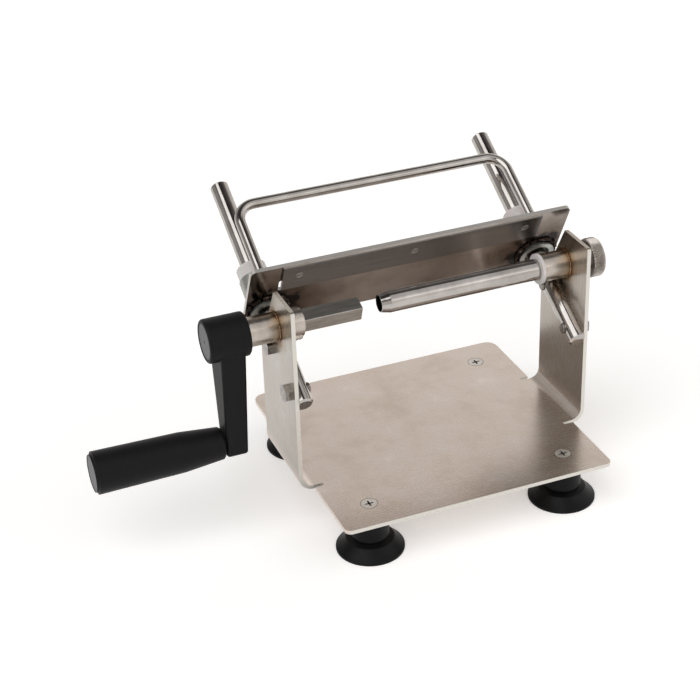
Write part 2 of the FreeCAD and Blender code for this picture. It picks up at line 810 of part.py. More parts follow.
def hub_bolt():
    """Bolt that draws the arm onto the end of the shaft."""
    seat = "-hub_inner - shaft_in_hub - hub_bolt_web"
    bolt = turned("hub_bolt", [
        ("0", f"{seat} - hub_bolt_head_height"),
        ("hub_bolt_head / 2", f"{seat} - hub_bolt_head_height"),
        ("hub_bolt_head / 2", seat),
        ("hub_bolt_diameter / 2", seat),
        ("hub_bolt_diameter / 2", "hub_bolt_reach - hub_inner - shaft_in_hub"),
        ("0", "hub_bolt_reach - hub_inner - shaft_in_hub"),
    ])
    place_on_axis(bolt)
    return bolt


def hub_cap():
    """Press-in cap that closes the hub, with a small dimple in its middle."""
    outer = "cap_inset - hub_outer"
    dimple = "cap_thickness / 2"
    cap = turned("hub_cap", [
        ("0", f"{outer} + {dimple}"),
        (dimple, f"{outer} + {dimple}"),
        (dimple, outer),
        ("cap_diameter / 2", outer),
        ("cap_diameter / 2", f"{outer} + cap_thickness"),
        ("0", f"{outer} + cap_thickness"),
    ])
    place_on_axis(cap)
    return cap


def place_on_grip_axis(piece):
    """Turn a piece's own Z along the axis of the grip."""
    place(piece, "0", "-axis_forward", "axis_height - crank_radius", (0, 1, 0), "90")


def grip_spindle():
    """Shouldered steel spindle screwed into the arm, with a head in the grip's end."""
    seat = "grip_pocket_depth - grip_outer"
    head = "spindle_head_diameter / 2"
    spindle = turned("grip_spindle", [
        ("0", f"{seat} - end_play - spindle_head_height"),
        (head, f"{seat} - end_play - spindle_head_height"),
        (head, f"{seat} - end_play"),
        ("spindle_diameter / 2", f"{seat} - end_play"),
        ("spindle_diameter / 2", "-arm_outer"),
        ("spindle_thread / 2", "-arm_outer"),
        ("spindle_thread / 2", "spindle_in_arm - arm_outer"),
        ("0", "spindle_in_arm - arm_outer"),
    ])
    place_on_grip_axis(spindle)
    return spindle


nodes.append(crank_shaft())
nodes.append(crank_arm())
nodes.append(hub_bolt())
nodes.append(hub_cap())
nodes.append(grip_spindle())


# Revolving grip

def handle_grip():
    """Moulded grip, bored for the spindle, with a pocket for its head and cap."""
    end_radius = "grip_end_diameter / 2"
    bore = "spindle_diameter / 2 + running_clearance"
    grip = turned("handle_grip", [
        (bore, "grip_pocket_depth - grip_outer"),
        ("grip_cap_diameter / 2", "grip_pocket_depth - grip_outer"),
        ("grip_cap_diameter / 2", "-grip_outer"),
        (f"{end_radius} - grip_edge_radius", "-grip_outer"),
        (end_radius, "grip_edge_radius - grip_outer", "grip_edge_radius", -1),
        ("grip_break_diameter / 2", "-grip_break"),
        ("grip_neck_diameter / 2", "-grip_inner - grip_edge_radius / 2"),
        ("grip_neck_diameter / 2 - grip_edge_radius / 2", "-grip_inner"),
        (bore, "-grip_inner"),
    ])
    place_on_grip_axis(grip)
    return grip


def grip_cap():
    """Flat cap pressed into the outer end of the grip."""
    outer = "cap_inset - grip_outer"
    cap = turned("grip_cap", [
        ("0", outer),
        ("grip_cap_diameter / 2", outer),
        ("grip_cap_diameter / 2", f"{outer} + grip_cap_thickness"),
        ("0", f"{outer} + grip_cap_thickness"),
    ])
    place_on_grip_axis(cap)
    return cap


nodes.append(handle_grip())
nodes.append(grip_cap())


# Blade carriage: plate, blade, sleeves with bushes, bail handle

blade_screw_places = ("-blade_screw_reach", "0", "blade_screw_reach")


def carriage_plate():
    """Sheet with a slot behind the blade's edge and two holes for the sleeves."""
    body = new_body("carriage_plate")
    corner = "plate_corner_radius"
    outline = [
        ("plate_half_width", "-plate_below"),
        ("plate_half_width", f"plate_above - {corner}"),
        (f"plate_half_width - {corner}", "plate_above", corner, 1),
        (f"{corner} - plate_half_width", "plate_above"),
        ("-plate_half_width", f"plate_above - {corner}", corner, 1),
        ("-plate_half_width", "-plate_below"),
    ]
    padded(body, "XZ_Plane", outline, "plate_thickness", reverse=True)
    slot = rounded_box("-slot_half_width", "slot_half_width", "slot_bottom", "slot_top",
                       "slot_corner_radius")
    pocketed(body, "XZ_Plane", slot, "plate_thickness")
    for _, side in sides:
        feature(body, "SubtractiveCylinder", f"{side} * rod_x", "0", "0",
                axis=(1, 0, 0), angle="-90", Height="plate_thickness",
                Radius="sleeve_diameter / 2 + sleeve_hole_clearance")
    for place_x in blade_screw_places:
        feature(body, "SubtractiveCylinder", place_x, "0", "blade_screw_height",
                axis=(1, 0, 0), angle="-90", Height="plate_thickness",
                Radius="blade_screw_diameter / 2")
    place_on_plate(body)
    return body


def blade():
    """Ground strip blade on the plate's front, bevelled on its back over the slot."""
    body = new_body("blade")
    section = [
        ("0", "blade_edge + blade_bevel"),
        ("0", "blade_back"),
        ("-blade_thickness", "blade_back"),
        ("-blade_thickness", "blade_edge"),
        ("blade_edge_thickness - blade_thickness", "blade_edge"),
    ]
    padded(body, "YZ_Plane", section, "2 * blade_half_width", offset="-blade_half_width")
    for place_x in blade_screw_places:
        feature(body, "SubtractiveCylinder", place_x, "0", "blade_screw_height",
                axis=(1, 0, 0), angle="90", Height="blade_thickness",
                Radius="blade_screw_diameter / 2")
        feature(body, "SubtractiveCone", place_x, "-blade_thickness + blade_sink",
                "blade_screw_height", axis=(1, 0, 0), angle="90", Height="blade_sink",
                Radius1="blade_screw_diameter / 2", Radius2="blade_screw_head / 2")
    place_on_plate(body)
    return body


def blade_screw(name, place_x):
    """Small countersunk screw that holds the blade to the plate."""
    screw = turned(name, [
        ("0", "-plate_thickness"),
        ("blade_screw_diameter / 2", "-plate_thickness"),
        ("blade_screw_diameter / 2", "blade_thickness - blade_sink"),
        ("blade_screw_head / 2", "blade_thickness"),
        ("0", "blade_thickness"),
    ])
    feature(screw, "SubtractiveBox", "-blade_screw_head / 2", "-blade_slot_width / 2",
            "blade_thickness - blade_slot_width", Length="blade_screw_head",
            Width="blade_slot_width", Height="blade_slot_width")
    place(screw, place_x, "plate_y - blade_screw_height * sin(plate_lean)",
          "plate_z + blade_screw_height * cos(plate_lean)",
          (1, 0, 0), "plate_lean + 90")
    return screw


def sleeve(name, side):
    """Steel sleeve through the plate, with a flange against the plate's front."""
    flange_front = "carriage_station - sleeve_flange_reach"
    flange_back = "carriage_station - sleeve_flange_gap"
    back = "carriage_station + sleeve_length"
    body = turned(name, [
        ("sleeve_bore / 2", flange_front),
        ("sleeve_flange_diameter / 2", flange_front),
        ("sleeve_flange_diameter / 2", flange_back),
        ("sleeve_diameter / 2", flange_back),
        ("sleeve_diameter / 2", back),
        ("sleeve_bore / 2", back),
    ])
    place_on_rod(body, side)
    return body


def slide_bush(name, side):
    """Plastic bush in a sleeve, with a collar that shows behind it."""
    front = "carriage_station - sleeve_flange_reach + slide_bush_inset"
    collar = "carriage_station + sleeve_length"
    back = f"{collar} + slide_bush_collar_length"
    bore = "rod_diameter / 2 + running_clearance"
    body = turned(name, [
        (bore, front),
        ("sleeve_bore / 2", front),
        ("sleeve_bore / 2", collar),
        ("slide_bush_collar / 2", collar),
        ("slide_bush_collar / 2", back),
        (bore, back),
    ])
    place_on_rod(body, side)
    return body


def sleeve_weld(name, side):
    """Weld bead on the plate's front, round a sleeve's flange."""
    inner = "sleeve_flange_diameter / 2 + sleeve_weld_gap"
    bead = turned(name, [
        (inner, "0"),
        (f"{inner} + sleeve_weld_width", "0"),
        (inner, "sleeve_weld_height"),
    ])
    place(bead, f"{side} * rod_x", "plate_y", "plate_z", (1, 0, 0), "plate_lean + 90")
    return bead


def bail_handle():
    """Round bar bent into a square-shouldered bail, standing on the plate."""
    body = new_body("bail_handle")
    path = new_sketch(body, "XZ_Plane", "bail_offset", "bail_path")
    shoulder = "bail_station - bail_bend_radius"
    inner = "rod_x - bail_bend_radius"
    add_outline(path, [
        ("-rod_x", "bail_start"),
        ("-rod_x", shoulder),
        (f"-({inner})", "bail_station", "bail_bend_radius", -1),
        (inner, "bail_station"),
        ("rod_x", shoulder, "bail_bend_radius", -1),
        ("rod_x", "bail_start"),
    ], closed=False)
    section = new_sketch(body, "XY_Plane", "bail_start", "bail_section")
    circle = section.addGeometry(
        Part.Circle(Vector(-number("rod_x"), -number("bail_offset"), 0),
                    Vector(0, 0, 1), number("bail_diameter / 2")), False)
    constrain(section, "Radius", circle, text="bail_diameter / 2")
    constrain(section, "DistanceX", -1, 1, circle, 3, text="-rod_x")
    constrain(section, "DistanceY", -1, 1, circle, 3, text="-bail_offset")
    pipe = body.newObject("PartDesign::AdditivePipe", "bar")
    pipe.Profile = section
    pipe.Spine = path
    place(body, "-bail_shift", "0", "rod_height", (1, 0, 0), "rod_tilt")
    return body


def bail_weld(name, side):
    """Weld bead round a leg of the bail, on the back of the plate."""
    bead = turned(name, [
        ("bail_diameter / 2", "0"),
        ("bail_diameter / 2 + bail_weld_leg", "0"),
        ("bail_diameter / 2", "bail_weld_leg"),
    ])
    place(bead, f"{side} * rod_x - bail_shift",
          "bail_start * cos(rod_angle) - bail_offset * sin(rod_angle)",
          "rod_height + bail_start * sin(rod_angle) + bail_offset * cos(rod_angle)",
          (1, 0, 0), "rod_tilt")
    return bead


nodes.append(carriage_plate())
nodes.append(blade())
nodes.append(group("blade_screws", [
    blade_screw(f"blade_screw_{count}", place_x)
    for count, place_x in enumerate(blade_screw_places, 1)]))
nodes.append(bail_handle())
sleeve_welds = []
bail_welds = []
for side_name, side in sides:
    nodes.append(sleeve(f"{side_name}_sleeve", side))
    nodes.append(slide_bush(f"{side_name}_slide_bush", side))
    sleeve_welds.append(sleeve_weld(f"{side_name}_sleeve_weld", side))
    bail_welds.append(bail_weld(f"{side_name}_bail_weld", side))
nodes.append(group("sleeve_weld_beads", sleeve_welds))
nodes.append(group("bail_weld_beads", bail_welds))


# Tail: flanged bush, sliding and turning tube, knob

def tail_bush():
    """Plastic bush in the right tube, with a flange against the tube's inner end."""
    bore = "tail_diameter / 2 + running_clearance"
    flange = "tail_bush_flange_diameter / 2"
    flange_back = "right_tube_inner - end_play"
    bush = turned("tail_bush", [
        (bore, f"{flange_back} - tail_bush_flange_thickness"),
        (flange, f"{flange_back} - tail_bush_flange_thickness"),
        (flange, flange_back),
        ("tube_bore / 2 - running_clearance", flange_back),
        ("tube_bore / 2 - running_clearance", "right_tube_outer - bush_inset"),
        (bore, "right_tube_outer - bush_inset"),
    ])
    place_on_axis(bush)
    return bush


def tail_tube():
    """Steel tube with a tapered mouth that is pushed against the food."""
    end = "knob_inner + knob_seat_depth"
    tube = turned("tail_tube", [
        ("tail_bore / 2", "-tail_mouth"),
        ("tail_mouth_diameter / 2", "-tail_mouth"),
        ("tail_diameter / 2", "tail_taper_length - tail_mouth"),
        ("tail_diameter / 2", end),
        ("tail_bore / 2", end),
    ])
    place_on_axis(tube)
    return tube


def tail_knob():
    """Knurled steel knob on the outer end of the tail tube."""
    outer = "knob_inner + knob_length"
    radius = "knob_diameter / 2"
    knob = turned("tail_knob", [
        ("0", "knob_inner + knob_seat_depth"),
        ("tail_diameter / 2", "knob_inner + knob_seat_depth"),
        ("tail_diameter / 2", "knob_inner"),
        (f"{radius} - knob_chamfer", "knob_inner"),
        (radius, "knob_inner + knob_chamfer"),
        (radius, f"{outer} - knob_chamfer"),
        (f"{radius} - knob_chamfer", outer),
        ("0", outer),
    ])
    feature(knob, "SubtractiveCylinder", "tail_diameter / 2", "0",
            "knob_inner + knob_seat_depth / 2", axis=(0, 1, 0), angle="90",
            Radius="knob_screw_diameter / 2",
            Height="knob_diameter / 2 - tail_diameter / 2")
    groove = feature(knob, "SubtractivePrism", radius, "0", "knob_inner",
                     Circumradius="knurl_depth", Height="knob_length")
    groove.Polygon = 4
    knurl = knob.newObject("PartDesign::PolarPattern", "knurl")
    knurl.Originals = [groove]
    knurl.Axis = (origin_axis(knob, "Z_Axis"), [""])
    knurl.Angle = 360
    knurl.setExpression("Occurrences", bound("knurl_count"))
    knob.Tip = knurl
    place_on_axis(knob)
    return knob


def origin_axis(body, role):
    """One of a body's own origin axes."""
    return next(item for item in body.Origin.OriginFeatures if item.Role == role)


def knob_screw():
    """Grub screw that locks the knob to the tube, from below."""
    screw = turned("knob_screw", [
        ("0", "0"),
        ("knob_screw_diameter / 2", "0"),
        ("knob_screw_diameter / 2", "knob_screw_length"),
        ("0", "knob_screw_length"),
    ])
    place(screw, "knob_inner + knob_seat_depth / 2", "-axis_forward",
          "axis_height - tail_diameter / 2", (1, 0, 0), "180")
    return screw


nodes.append(tail_bush())
nodes.append(tail_tube())
nodes.append(tail_knob())
nodes.append(knob_screw())


# Check and write

doc.recompute()
for item in doc.Objects:
    if "Invalid" in item.State or "Error" in item.State:
        raise RuntimeError(f"{item.Label} failed: {item.State}")
for node in nodes:
    if node.Shape.isNull() or not node.Shape.isValid():
        raise RuntimeError(f"{node.Label} has no valid shape")

os.makedirs("parts", exist_ok=True)
for node in nodes:
    node.Shape.exportStep(f"parts/{node.Label}.step")
    print(f"{node.Label}: {len(node.Shape.Solids)} solids, {node.Shape.Volume:.0f} mm3")
whole = Part.makeCompound([node.Shape for node in nodes]).BoundBox
print(f"{len(nodes)} nodes, X {whole.XMin:.2f} {whole.XMax:.2f}"
      f" Y {whole.YMin:.2f} {whole.YMax:.2f} Z {whole.ZMin:.2f} {whole.ZMax:.2f}")
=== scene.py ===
import math
import random

import bpy
from mathutils import Matrix, Vector


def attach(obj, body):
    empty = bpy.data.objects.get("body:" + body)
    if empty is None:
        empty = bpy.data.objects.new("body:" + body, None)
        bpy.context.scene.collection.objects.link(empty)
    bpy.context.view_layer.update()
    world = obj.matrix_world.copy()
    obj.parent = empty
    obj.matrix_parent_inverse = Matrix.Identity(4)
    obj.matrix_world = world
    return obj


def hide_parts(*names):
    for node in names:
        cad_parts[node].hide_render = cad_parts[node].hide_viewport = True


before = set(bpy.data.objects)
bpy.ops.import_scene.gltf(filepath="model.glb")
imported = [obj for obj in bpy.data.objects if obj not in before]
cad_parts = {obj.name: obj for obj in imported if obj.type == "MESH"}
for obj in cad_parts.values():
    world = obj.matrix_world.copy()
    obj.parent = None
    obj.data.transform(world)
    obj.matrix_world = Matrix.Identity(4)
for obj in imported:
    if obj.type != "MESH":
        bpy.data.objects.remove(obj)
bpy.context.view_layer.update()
bpy.ops.object.select_all(action="DESELECT")


# Camera
# The slicer is seen from the front left and a little above, through a long lens.
# The lens was fitted to the square corners of the base plate and the uprights.
focal_length_px = 1700
picture_width_px = 700
sensor_width_mm = 36
camera_place = Vector((-0.3857, -1.0177, 0.7324))
camera_azimuth = math.radians(-21.085)
camera_elevation = math.radians(29.792)
camera_roll = math.radians(-1.95)

camera_data = bpy.data.cameras.new("camera")
camera_data.sensor_width = sensor_width_mm
camera_data.lens = focal_length_px / picture_width_px * sensor_width_mm
camera_data.clip_start = 0.05
camera_data.clip_end = 60
camera = bpy.data.objects.new("camera", camera_data)
bpy.context.collection.objects.link(camera)
camera.matrix_world = (Matrix.Translation(camera_place)
                       @ Matrix.Rotation(camera_azimuth, 4, "Z")
                       @ Matrix.Rotation(math.radians(90) - camera_elevation, 4, "X")
                       @ Matrix.Rotation(camera_roll, 4, "Z"))
bpy.context.scene.camera = camera
bpy.context.scene.view_settings.view_transform = "Standard"


# Light tent
# White walls all round that fade to a dim open top, so that polished steel shows
# a pale horizon and dark streaks, with one broad lamp to the upper left.
def linear(hex_colour):
    """An sRGB colour such as "#c8bfb6" as the linear colour that a socket takes."""
    channels = [int(hex_colour[place:place + 2], 16) / 255 for place in (1, 3, 5)]
    return tuple(value / 12.92 if value <= 0.04045 else ((value + 0.055) / 1.055) ** 2.4
                 for value in channels) + (1,)


def add_node(tree, kind, sockets=None, stops=None, **settings):
    """Add a node with its settings, the values or links of its sockets, and its ramp."""
    node = tree.nodes.new(kind)
    for name, value in settings.items():
        setattr(node, name, value)
    for name, value in (sockets or {}).items():
        if isinstance(value, bpy.types.NodeSocket):
            tree.links.new(value, node.inputs[name])
        else:
            node.inputs[name].default_value = value
    if stops:
        ramp = node.color_ramp
        for place, colour in stops[1:-1]:
            ramp.elements.new(place)
        for element, (place, colour) in zip(ramp.elements, stops):
            element.position = place
            element.color = linear(colour) if isinstance(colour, str) else (colour,) * 3 + (1,)
    return node


tent = bpy.data.worlds.new("light_tent")
tent.use_nodes = True
tree = tent.node_tree
tree.nodes.clear()
bpy.context.scene.world = tent
direction = add_node(tree, "ShaderNodeSeparateXYZ", {
    "Vector": add_node(tree, "ShaderNodeTexCoord").outputs["Generated"]})
walls = add_node(tree, "ShaderNodeValToRGB", {"Fac": direction.outputs["Z"]}, stops=[
    (0.0, "#fffdfa"), (0.48, "#fdfaf6"), (0.62, "#c8c4c0"), (0.76, "#757270"),
    (1.0, "#454342")])
shaded_side = add_node(tree, "ShaderNodeMapRange", {
    "Value": direction.outputs["X"], "From Min": -0.5, "From Max": 0.25,
    "To Min": 0.45, "To Max": 1.0})
tent_light = add_node(tree, "ShaderNodeBackground", {
    "Color": walls.outputs["Color"], "Strength": shaded_side.outputs["Result"]})
tent_white = add_node(tree, "ShaderNodeBackground", {"Color": (1, 1, 1, 1), "Strength": 1.0})
tent_mix = add_node(tree, "ShaderNodeMixShader", {
    0: add_node(tree, "ShaderNodeLightPath").outputs["Is Camera Ray"],
    1: tent_light.outputs["Background"],
    2: tent_white.outputs["Background"]})
add_node(tree, "ShaderNodeOutputWorld", {"Surface": tent_mix.outputs["Shader"]})


def add_lamp(name, strength, spread, azimuth, elevation):
    """A far, broad lamp that shines from an azimuth and elevation in degrees."""
    lamp_data = bpy.data.lights.new(name, "SUN")
    lamp_data.energy = strength
    lamp_data.angle = math.radians(spread)
    lamp = bpy.data.objects.new(name, lamp_data)
    bpy.context.collection.objects.link(lamp)
    lamp.rotation_euler = (math.radians(90 - elevation), 0, math.radians(azimuth))


add_lamp("key_lamp", strength=1.5, spread=60, azimuth=-60, elevation=52)
add_lamp("fill_lamp", strength=0.5, spread=60, azimuth=50, elevation=48)


# Floor
# The white sheet that the slicer stands on. It is lifted a little where it is seen,
# so that the background is white and the slicer's shadow stays on it.
def new_material(name, **plain_values):
    """A material with one Principled shader, and that shader, with its plain values set."""
    material = bpy.data.materials.new(name)
    material.use_nodes = True
    shader = material.node_tree.nodes["Principled BSDF"]
    for socket, value in plain_values.items():
        shader.inputs[socket.replace("_", " ")].default_value = value
    return material, shader


floor_width = 12
floor_lift = 0.3
bpy.ops.mesh.primitive_plane_add(size=floor_width, location=(0, 0, 0))
floor = bpy.context.object
floor.name = "floor"
paper, paper_shader = new_material("white_paper", Base_Color=linear("#f7f6f5"), Roughness=0.9,
                                   Specular_IOR_Level=0.0)
tree = paper.node_tree
rays = add_node(tree, "ShaderNodeLightPath").outputs
seen = add_node(tree, "ShaderNodeMath", {0: rays["Is Camera Ray"], 1: rays["Is Glossy Ray"]},
                operation="MAXIMUM")
seen = add_node(tree, "ShaderNodeMath", {
    0: seen.outputs["Value"], 1: rays["Is Transmission Ray"]}, operation="MAXIMUM")
lift = add_node(tree, "ShaderNodeMath", {0: seen.outputs["Value"], 1: floor_lift},
                operation="MULTIPLY")
paper_shader.inputs["Emission Color"].default_value = (1, 1, 1, 1)
tree.links.new(lift.outputs["Value"], paper_shader.inputs["Emission Strength"])
floor.data.materials.append(paper)
bpy.ops.object.select_all(action="DESELECT")


# Base plate and uprights
# One sheet of 3 mm stainless steel, cut, brushed to a satin and bent up at both
# sides. Handling has left faint cloudy stains, and the grain runs across the plate.
stand_middle_x = 0.0588
stand_middle_y = -0.0194
axis_y = -0.0219
axis_z = 0.154
screw_spread_x = 0.0775
screw_spread_y = 0.074
tint_wander_mm = 18.0


def repeats(size_mm):
    """How many patches of a pattern, each this many millimetres wide, fit in a metre."""
    return 1000 / size_mm


def link(material, shader, **sockets):
    """Link outputs to the sockets of a material's shader."""
    for socket, output in sockets.items():
        material.node_tree.links.new(output, shader.inputs[socket.replace("_", " ")])


def dress(material, *node_names):
    """Give the CAD nodes of one finish their material."""
    for node_name in node_names:
        piece = bpy.data.objects[node_name]
        for material_slot in piece.material_slots:
            material_slot.material = material


sheet_steel, sheet_shader = new_material("satin_stainless_sheet", Metallic=1.0)
tree = sheet_steel.node_tree
coordinates = add_node(tree, "ShaderNodeTexCoord")
place = coordinates.outputs["Object"]
# stains about 40 mm across
clouds = add_node(tree, "ShaderNodeTexNoise",
                  {"Vector": place, "Scale": repeats(38.5), "Detail": 7, "Roughness": 0.66})
# brush lines some 60 mm long. Real ones are near 0.1 mm wide, too fine to show, so
# they are drawn at 0.77 mm
grain = add_node(tree, "ShaderNodeTexNoise", {
    "Vector": add_node(tree, "ShaderNodeMapping", {
        "Vector": place,
        "Scale": (repeats(62.5), repeats(0.77), repeats(62.5))}).outputs["Vector"],
    "Scale": 1, "Detail": 3, "Roughness": 0.6})
cloud_colour = add_node(tree, "ShaderNodeValToRGB", {"Fac": clouds.outputs["Fac"]}, stops=[
    (0.3, "#cdbeb3"), (0.5, "#d9ccc2"), (0.62, "#dbd0c9"), (0.75, "#e9dfd7")])
# heat tint round the tubes, by millimetres from the crank axis, with a ragged edge
from_axis = add_node(tree, "ShaderNodeVectorMath", {
    0: add_node(tree, "ShaderNodeVectorMath", {0: place, 1: (0, axis_y, axis_z)},
                operation="SUBTRACT").outputs["Vector"],
    1: (0, 1000, 1000)}, operation="MULTIPLY")
axis_distance = add_node(tree, "ShaderNodeVectorMath", {0: from_axis.outputs["Vector"]},
                         operation="LENGTH")
ragged = add_node(tree, "ShaderNodeMath", {
    0: clouds.outputs["Fac"], 1: -tint_wander_mm, 2: axis_distance.outputs["Value"]},
    operation="MULTIPLY_ADD")
heat = add_node(tree, "ShaderNodeValToRGB", {
    "Fac": add_node(tree, "ShaderNodeMapRange", {
        "Value": ragged.outputs["Value"], "From Min": 0, "From Max": 12,
    }).outputs["Result"]}, stops=[
        (0.0, "#9a7450"), (0.2, "#cfb08c"), (0.4, "#f3eadd"), (1.0, "#ffffff")])
heated = add_node(tree, "ShaderNodeMix", {
    "Factor": 1.0, 6: cloud_colour.outputs["Color"], 7: heat.outputs["Color"]},
    data_type="RGBA", blend_type="MULTIPLY")
# painted shade: a dark hairline round each countersunk screw, where its countersink's gap lies
# in shade, by millimetres from its middle
from_screw = add_node(tree, "ShaderNodeVectorMath", {
    0: add_node(tree, "ShaderNodeVectorMath", {
        0: add_node(tree, "ShaderNodeVectorMath", {
            0: place, 1: (stand_middle_x, stand_middle_y, 0)},
                    operation="SUBTRACT").outputs["Vector"]},
        operation="ABSOLUTE").outputs["Vector"],
    1: (screw_spread_x, screw_spread_y, 0)}, operation="SUBTRACT")
screw_distance = add_node(tree, "ShaderNodeVectorMath", {
    0: add_node(tree, "ShaderNodeVectorMath", {0: from_screw.outputs["Vector"],
                                               1: (1000, 1000, 0)},
                operation="MULTIPLY").outputs["Vector"]}, operation="LENGTH")
countersink_shade = add_node(tree, "ShaderNodeValToRGB", {
    "Fac": add_node(tree, "ShaderNodeMapRange", {
        "Value": screw_distance.outputs["Value"], "From Min": 5, "From Max": 8,
    }).outputs["Result"]}, stops=[
        (0.0, "#4f4740"), (0.36, "#4f4740"), (0.55, "#ffffff"), (1.0, "#ffffff")])
countersink_shaded = add_node(tree, "ShaderNodeMix", {
    "Factor": 1.0, 6: heated.outputs[2], 7: countersink_shade.outputs["Color"]},
    data_type="RGBA", blend_type="MULTIPLY")
# painted shade: the uprights, above the bends, are painted greyer than the plate, as they look
# in shade
raised = add_node(tree, "ShaderNodeMapRange", {
    "Value": add_node(tree, "ShaderNodeSeparateXYZ", {"Vector": place}).outputs["Z"],
    "From Min": 0.038, "From Max": 0.052})
uprights_shaded = add_node(tree, "ShaderNodeMix", {
    0: raised.outputs["Result"], 6: countersink_shaded.outputs[2],
    7: add_node(tree, "ShaderNodeMix", {
        "Factor": 1.0, 6: countersink_shaded.outputs[2], 7: linear("#d0d4d3")},
        data_type="RGBA", blend_type="MULTIPLY").outputs[2]}, data_type="RGBA")
# cut edges, which face the front and the back, are paler and duller
edge = add_node(tree, "ShaderNodeMath", {
    0: add_node(tree, "ShaderNodeMath", {
        0: add_node(tree, "ShaderNodeSeparateXYZ",
                    {"Vector": coordinates.outputs["Normal"]}).outputs["Y"]},
        operation="ABSOLUTE").outputs["Value"], 1: 0.8}, operation="GREATER_THAN")
sheet_colour = add_node(tree, "ShaderNodeMix", {
    0: edge.outputs["Value"], 6: uprights_shaded.outputs[2], 7: linear("#d8d5ce")},
    data_type="RGBA")
rough = add_node(tree, "ShaderNodeMapRange", {
    "Value": grain.outputs["Fac"], "To Min": 0.24, "To Max": 0.31})
dull = add_node(tree, "ShaderNodeMath", {
    0: edge.outputs["Value"], 1: 0.15, 2: rough.outputs["Result"]},
    operation="MULTIPLY_ADD")
bump = add_node(tree, "ShaderNodeBump", {
    "Height": grain.outputs["Fac"], "Strength": 0.03, "Distance": 0.0002})
link(sheet_steel, sheet_shader, Base_Color=sheet_colour.outputs[2],
     Roughness=dull.outputs["Value"], Normal=bump.outputs["Normal"])
dress(sheet_steel, "base_frame")


# Suction feet
# Black natural rubber, each cup moulded in one piece with its neck and screwed to an
# insert from above. Fresh from the mould it is nearly black, with a soft low sheen
# that a little dust breaks up.
rubber, rubber_shader = new_material("moulded_black_rubber",
                                     Specular_IOR_Level=0.15)
tree = rubber.node_tree
place = add_node(tree, "ShaderNodeTexCoord").outputs["Object"]
dust = add_node(tree, "ShaderNodeTexNoise",
                {"Vector": place, "Scale": repeats(11.1), "Detail": 5, "Roughness": 0.6})
rubber_colour = add_node(tree, "ShaderNodeValToRGB", {"Fac": dust.outputs["Fac"]}, stops=[
    (0.35, "#08080a"), (0.6, "#0d0d0f"), (0.8, "#19191b")])
rough = add_node(tree, "ShaderNodeMapRange", {
    "Value": dust.outputs["Fac"], "To Min": 0.34, "To Max": 0.52})
bump = add_node(tree, "ShaderNodeBump", {
    "Height": dust.outputs["Fac"], "Strength": 0.05, "Distance": 0.0004})
link(rubber, rubber_shader, Base_Color=rubber_colour.outputs["Color"],
     Roughness=rough.outputs["Result"], Normal=bump.outputs["Normal"])
dress(rubber, "suction_foot_front_left", "suction_foot_front_right",
      "suction_foot_back_left", "suction_foot_back_right")


# Turned screws
# Bright turned stainless: the feet's inserts and countersunk screws, the hub's bolt
# and the grip's spindle. Fine turning leaves a pale metal with soft highlights.
fastener, fastener_shader = new_material("turned_fastener_steel", Metallic=1.0, Roughness=0.3)
tree = fastener.node_tree
place = add_node(tree, "ShaderNodeTexCoord").outputs["Object"]
wear = add_node(tree, "ShaderNodeTexNoise",
                {"Vector": place, "Scale": repeats(3.85), "Detail": 5, "Roughness": 0.6})
wear_colour = add_node(tree, "ShaderNodeValToRGB", {"Fac": wear.outputs["Fac"]}, stops=[
    (0.3, "#d5cfc8"), (0.6, "#ece8e2"), (0.8, "#f4f1ec")])
# painted shade: the screws' cross recess, below 37 mm above the floor, is painted dark as
# shade
recess_shade = add_node(tree, "ShaderNodeMapRange", {
    "Value": add_node(tree, "ShaderNodeSeparateXYZ", {"Vector": place}).outputs["Z"],
    "From Min": 0.0369, "From Max": 0.0362})
fastener_colour = add_node(tree, "ShaderNodeMix", {
    0: recess_shade.outputs["Result"], 6: wear_colour.outputs["Color"], 7: linear("#2b2622")},
    data_type="RGBA")
rough = add_node(tree, "ShaderNodeMapRange", {
    "Value": wear.outputs["Fac"], "To Min": 0.34, "To Max": 0.5})
link(fastener, fastener_shader, Base_Color=fastener_colour.outputs[2],
     Roughness=rough.outputs["Result"])
dress(fastener, "foot_inserts", "foot_screws", "hub_bolt", "grip_spindle")


# Rod bolts and blade screws
# Cold-headed stainless, darker and greyer to the eye than the turned screws. The rods'
# bolts clamp the rods to the uprights from outside, and their rolled thread shows as
# fine rings on the tips.
bolt_steel, bolt_shader = new_material("rolled_bolt_steel", Metallic=1.0, Roughness=0.16)
tree = bolt_steel.node_tree
place = add_node(tree, "ShaderNodeTexCoord").outputs["Object"]
wear = add_node(tree, "ShaderNodeTexNoise",
                {"Vector": place, "Scale": repeats(4.17), "Detail": 5, "Roughness": 0.6})
bolt_colour = add_node(tree, "ShaderNodeValToRGB", {"Fac": wear.outputs["Fac"]}, stops=[
    (0.3, "#6f6a66"), (0.6, "#928d88"), (0.8, "#a8a39e")])
# one turn of the thread each 1.25 mm, on the tips, which lie between the uprights
thread_pitch = 0.00125
bolt_tip_reach = 0.114
along_bolt = add_node(tree, "ShaderNodeMath", {
    0: add_node(tree, "ShaderNodeSeparateXYZ", {"Vector": place}).outputs["X"],
    1: stand_middle_x}, operation="SUBTRACT")
thread = add_node(tree, "ShaderNodeMath", {
    0: add_node(tree, "ShaderNodeMath", {
        0: along_bolt.outputs["Value"], 1: 2 * math.pi / thread_pitch},
                operation="MULTIPLY").outputs["Value"]}, operation="SINE")
inside = add_node(tree, "ShaderNodeMath", {
    0: add_node(tree, "ShaderNodeMath", {0: along_bolt.outputs["Value"]},
                operation="ABSOLUTE").outputs["Value"], 1: bolt_tip_reach},
    operation="LESS_THAN")
height = add_node(tree, "ShaderNodeMath", {
    0: thread.outputs["Value"], 1: inside.outputs["Value"]}, operation="MULTIPLY")
bump = add_node(tree, "ShaderNodeBump", {
    "Height": height.outputs["Value"], "Strength": 0.8, "Distance": 0.00025})
